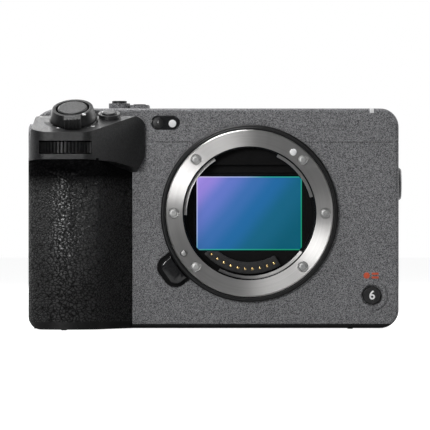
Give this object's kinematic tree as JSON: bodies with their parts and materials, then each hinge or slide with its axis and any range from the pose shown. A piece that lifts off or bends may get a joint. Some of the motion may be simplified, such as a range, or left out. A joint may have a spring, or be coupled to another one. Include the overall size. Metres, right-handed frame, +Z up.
{
  "type": "cinema camera",
  "caption": "Compact box-shaped cinema camera body with leather-grained grip, open lens mount showing the sensor, record and zoom controls, hinged monitor and threaded accessory points.",
  "frame": {"origin": "mouth of the tripod socket on the base plane, under the lens axis, in the plane of the sensor's surface", "axes": "-Y along the lens axis towards the subject, +X to the right seen from the front, +Z up"},
  "size_m": [0.1317, 0.0843, 0.0806],
  "materials": {
    "body_paint": "satin, fine speckle",
    "grip_leather": "leather grain",
    "black_smooth": "fine matt",
    "black_gloss": "gloss",
    "black_metal": "matt black",
    "mount_steel": "turned",
    "screw_steel": "bright",
    "contact_gold": "polished",
    "sensor_glass": "coated",
    "clear_dark": "gloss",
    "inner_metal": "milled",
    "board_green": "satin",
    "shoe_steel": "satin",
    "door_rubber": "matt"
  },
  "bodies": {
    "camera_body": {"front_cover": "body_paint", "top_cover": "body_paint", "rear_cover": "body_paint", "base_plate": "black_metal", "grip_rubber": "grip_leather", "grip_frame": "black_smooth", "grip_head_cap": "black_smooth", "grip_remote_window": "black_gloss", "mount_ring": "mount_steel", "mount_skirt": "black_smooth", "mount_screws": "screw_steel", "mount_frame": "black_metal", "contact_block": "black_smooth", "contact_pins": "contact_gold", "shutter_frame": "black_metal", "heat_sink": "inner_metal", "main_board": "board_green", "card_slots": "shoe_steel", "front_sensor_window": "black_gloss", "thumb_rest": "grip_leather", "battery": "black_smooth", "port_connectors": "shoe_steel", "thread_bushes": "shoe_steel", "accessory_shoe": "shoe_steel"},
    "lens_release_button": {"lens_release_button": "black_smooth"},
    "lens_lock_pin": {"lens_lock_pin": "screw_steel"},
    "front_record_button": {"front_record_button": "black_smooth"},
    "top_record_button": {"top_record_button": "black_smooth"},
    "top_button_1": {"top_button_1": "black_smooth"},
    "top_button_2": {"top_button_2": "black_smooth"},
    "top_button_3": {"top_button_3": "black_smooth"},
    "slope_button": {"slope_button": "black_smooth"},
    "shutter_button": {"shutter_button": "black_smooth"},
    "zoom_lever": {"zoom_lever": "black_smooth"},
    "front_dial": {"front_dial": "black_smooth"},
    "rear_dial": {"rear_dial": "black_smooth"},
    "control_wheel": {"control_wheel": "black_smooth"},
    "wheel_button": {"wheel_button": "black_smooth"},
    "menu_button": {"menu_button": "black_smooth"},
    "function_button": {"function_button": "black_smooth"},
    "playback_button": {"playback_button": "black_smooth"},
    "delete_button": {"delete_button": "black_smooth"},
    "power_switch": {"power_switch": "black_smooth"},
    "joystick_gimbal": {"joystick_gimbal": "screw_steel"},
    "joystick": {"joystick": "black_smooth"},
    "shutter_blade_1": {"shutter_blade_1": "black_metal"},
    "shutter_blade_2": {"shutter_blade_2": "black_metal"},
    "shutter_blade_3": {"shutter_blade_3": "black_metal"},
    "sensor_stage": {"sensor_stage": "black_metal"},
    "sensor_unit": {"sensor_unit": "black_metal", "sensor_glass": "sensor_glass"},
    "fan_rotor": {"fan_rotor": "black_smooth"},
    "battery_door": {"battery_door": "black_metal"},
    "battery_latch": {"battery_latch": "black_smooth"},
    "card_door": {"card_door": "body_paint"},
    "port_door_upper": {"port_door_upper": "door_rubber"},
    "port_door_lower": {"port_door_lower": "door_rubber"},
    "monitor": {"monitor_arm": "black_metal", "monitor_housing": "black_smooth", "monitor_glass": "clear_dark"}
  },
  "joints": [
    {"name": "lens_release_press", "type": "slide", "parent": "camera_body", "child": "lens_release_button", "axis": [0, 1, 0], "range_m": [0, 0.0014], "stiffness_N_per_m": 600, "springref_m": -0.0005},
    {"name": "lens_lock_pin_slide", "type": "slide", "parent": "camera_body", "child": "lens_lock_pin", "axis": [0, 1, 0], "range_m": [0, 0.0014]},
    {"name": "front_record_press", "type": "slide", "parent": "camera_body", "child": "front_record_button", "axis": [0, 1, 0], "range_m": [0, 0.0008], "stiffness_N_per_m": 400, "springref_m": -0.0004},
    {"name": "top_record_press", "type": "slide", "parent": "camera_body", "child": "top_record_button", "axis": [0, 0, -1], "range_m": [0, 0.0008], "stiffness_N_per_m": 400, "springref_m": -0.0004},
    {"name": "top_button_1_press", "type": "slide", "parent": "camera_body", "child": "top_button_1", "axis": [0, 0, -1], "range_m": [0, 0.0005], "stiffness_N_per_m": 400, "springref_m": -0.0004},
    {"name": "top_button_2_press", "type": "slide", "parent": "camera_body", "child": "top_button_2", "axis": [0, 0, -1], "range_m": [0, 0.0005], "stiffness_N_per_m": 400, "springref_m": -0.0004},
    {"name": "top_button_3_press", "type": "slide", "parent": "camera_body", "child": "top_button_3", "axis": [0, 0, -1], "range_m": [0, 0.0005], "stiffness_N_per_m": 400, "springref_m": -0.0004},
    {"name": "slope_button_press", "type": "slide", "parent": "camera_body", "child": "slope_button", "axis": [0, 0.3091, -0.951], "range_m": [0, 0.0006], "stiffness_N_per_m": 400, "springref_m": -0.0004},
    {"name": "shutter_press", "type": "slide", "parent": "camera_body", "child": "shutter_button", "axis": [0.0627, 0.4375, -0.897], "range_m": [0, 0.001], "stiffness_N_per_m": 500, "springref_m": -0.0005},
    {"name": "zoom_turn", "type": "hinge", "parent": "camera_body", "child": "zoom_lever", "pos_m": [-0.0616, -0.027, 0.0733], "axis": [-0.0627, -0.4375, 0.897], "range_deg": [-20, 20], "stiffness_Nm_per_rad": 0.02},
    {"name": "front_dial_turn", "type": "hinge", "parent": "camera_body", "child": "front_dial", "pos_m": [-0.0641, -0.0286, 0.0613], "axis": [0, 0, 1], "continuous": true},
    {"name": "rear_dial_turn", "type": "hinge", "parent": "camera_body", "child": "rear_dial", "pos_m": [-0.0627, 0.0298, 0.07], "axis": [0, 0, 1], "continuous": true},
    {"name": "control_wheel_turn", "type": "hinge", "parent": "camera_body", "child": "control_wheel", "pos_m": [-0.0537, 0.036, 0.026], "axis": [0, 1, 0], "continuous": true},
    {"name": "wheel_button_press", "type": "slide", "parent": "camera_body", "child": "wheel_button", "axis": [0, -1, 0], "range_m": [0, 0.0005], "stiffness_N_per_m": 400, "springref_m": -0.0004},
    {"name": "menu_button_press", "type": "slide", "parent": "camera_body", "child": "menu_button", "axis": [0, -1, 0], "range_m": [0, 0.0005], "stiffness_N_per_m": 400, "springref_m": -0.0004},
    {"name": "function_button_press", "type": "slide", "parent": "camera_body", "child": "function_button", "axis": [0, -1, 0], "range_m": [0, 0.0005], "stiffness_N_per_m": 400, "springref_m": -0.0004},
    {"name": "playback_button_press", "type": "slide", "parent": "camera_body", "child": "playback_button", "axis": [0, -1, 0], "range_m": [0, 0.0005], "stiffness_N_per_m": 400, "springref_m": -0.0004},
    {"name": "delete_button_press", "type": "slide", "parent": "camera_body", "child": "delete_button", "axis": [0, -1, 0], "range_m": [0, 0.0005], "stiffness_N_per_m": 400, "springref_m": -0.0004},
    {"name": "power_switch_turn", "type": "hinge", "parent": "camera_body", "child": "power_switch", "pos_m": [-0.0617, 0.012, 0.0773], "axis": [0, 0, 1], "range_deg": [0, 34]},
    {"name": "joystick_tilt_up_down", "type": "hinge", "parent": "camera_body", "child": "joystick_gimbal", "pos_m": [-0.0412, 0.0333, 0.056], "axis": [1, 0, 0], "range_deg": [-8, 8], "stiffness_Nm_per_rad": 0.02},
    {"name": "joystick_tilt_sideways", "type": "hinge", "parent": "joystick_gimbal", "child": "joystick", "pos_m": [-0.0412, 0.0333, 0.056], "axis": [0, 0, 1], "range_deg": [-8, 8], "stiffness_Nm_per_rad": 0.02},
    {"name": "shutter_blade_1_rise", "type": "slide", "parent": "camera_body", "child": "shutter_blade_1", "axis": [0, 0, 1], "range_m": [0, 0.0276]},
    {"name": "shutter_blade_2_rise", "type": "slide", "parent": "camera_body", "child": "shutter_blade_2", "axis": [0, 0, 1], "range_m": [0, 0.0184]},
    {"name": "shutter_blade_3_rise", "type": "slide", "parent": "camera_body", "child": "shutter_blade_3", "axis": [0, 0, 1], "range_m": [0, 0.0092]},
    {"name": "sensor_shift_sideways", "type": "slide", "parent": "camera_body", "child": "sensor_stage", "axis": [1, 0, 0], "range_m": [-0.0008, 0.0008], "stiffness_N_per_m": 1500},
    {"name": "sensor_shift_up_down", "type": "slide", "parent": "sensor_stage", "child": "sensor_unit", "axis": [0, 0, 1], "range_m": [-0.0008, 0.0008], "stiffness_N_per_m": 1500},
    {"name": "fan_turn", "type": "hinge", "parent": "camera_body", "child": "fan_rotor", "pos_m": [0.0285, 0.0053, 0.036], "axis": [0, 1, 0], "continuous": true},
    {"name": "battery_door_swing", "type": "hinge", "parent": "camera_body", "child": "battery_door", "pos_m": [-0.0509, 0, 0.00125], "axis": [0, -1, 0], "range_deg": [0, 95]},
    {"name": "battery_latch_slide", "type": "slide", "parent": "battery_door", "child": "battery_latch", "axis": [1, 0, 0], "range_m": [0, 0.0025]},
    {"name": "card_door_swing", "type": "hinge", "parent": "camera_body", "child": "card_door", "pos_m": [-0.07655, 0.0123, 0.035], "axis": [0, 0, 1], "range_deg": [0, 95]},
    {"name": "port_door_upper_swing", "type": "hinge", "parent": "camera_body", "child": "port_door_upper", "pos_m": [0.05185, -0.0111, 0.0342], "axis": [0, 0, -1], "range_deg": [0, 95]},
    {"name": "port_door_lower_swing", "type": "hinge", "parent": "camera_body", "child": "port_door_lower", "pos_m": [0.05185, -0.0111, 0.0146], "axis": [0, 0, -1], "range_deg": [0, 95]},
    {"name": "monitor_swing", "type": "hinge", "parent": "camera_body", "child": "monitor", "pos_m": [0.0497, 0.0336, 0.035], "axis": [0, 0, -1], "range_deg": [0, 176]}
  ],
  "couplings": [
    {"joint": "lens_lock_pin_slide", "follows": "lens_release_press", "ratio": 1},
    {"joint": "shutter_blade_2_rise", "follows": "shutter_blade_1_rise", "ratio": 0.66667},
    {"joint": "shutter_blade_3_rise", "follows": "shutter_blade_1_rise", "ratio": 0.33333}
  ]
}
